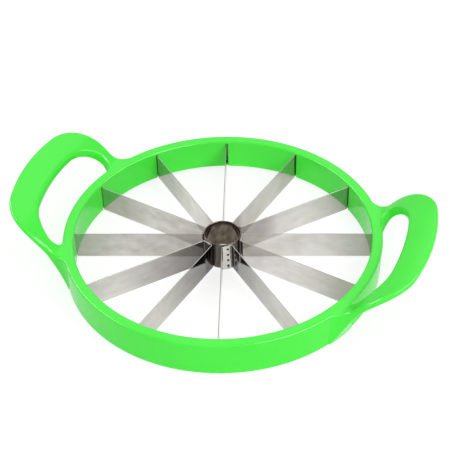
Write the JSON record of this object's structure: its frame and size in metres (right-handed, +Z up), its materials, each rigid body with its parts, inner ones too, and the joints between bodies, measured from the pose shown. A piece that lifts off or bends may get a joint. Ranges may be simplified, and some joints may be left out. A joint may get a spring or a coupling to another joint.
{
  "type": "watermelon slicer",
  "caption": "Round push-down melon slicer: a green moulded ring with two raised loop handles, radial steel blades and a central core tube.",
  "frame": {"origin": "on the ring's axis, at the foot of its outer wall, where the slicer rests", "axes": "+Z up along the ring's axis, +X through the middle of a handle"},
  "size_m": [0.3532, 0.268, 0.0636],
  "materials": {
    "green_plastic": "glossy injection-moulded bright green",
    "retainer_plastic": "satin injection-moulded green",
    "blade_steel": "rolled stainless strip, satin with faint water marks",
    "tube_steel": "rolled stainless tube, satin with darker weld heat marks"
  },
  "bodies": {
    "root": {"frame": "green_plastic", "retaining_ring": "retainer_plastic", "core_tube": "tube_steel", "blade_01": "blade_steel", "blade_02": "blade_steel", "blade_03": "blade_steel", "blade_04": "blade_steel", "blade_05": "blade_steel", "blade_06": "blade_steel", "blade_07": "blade_steel", "blade_08": "blade_steel", "blade_09": "blade_steel", "blade_10": "blade_steel", "blade_11": "blade_steel", "blade_12": "blade_steel"}
  },
  "joints": []
}
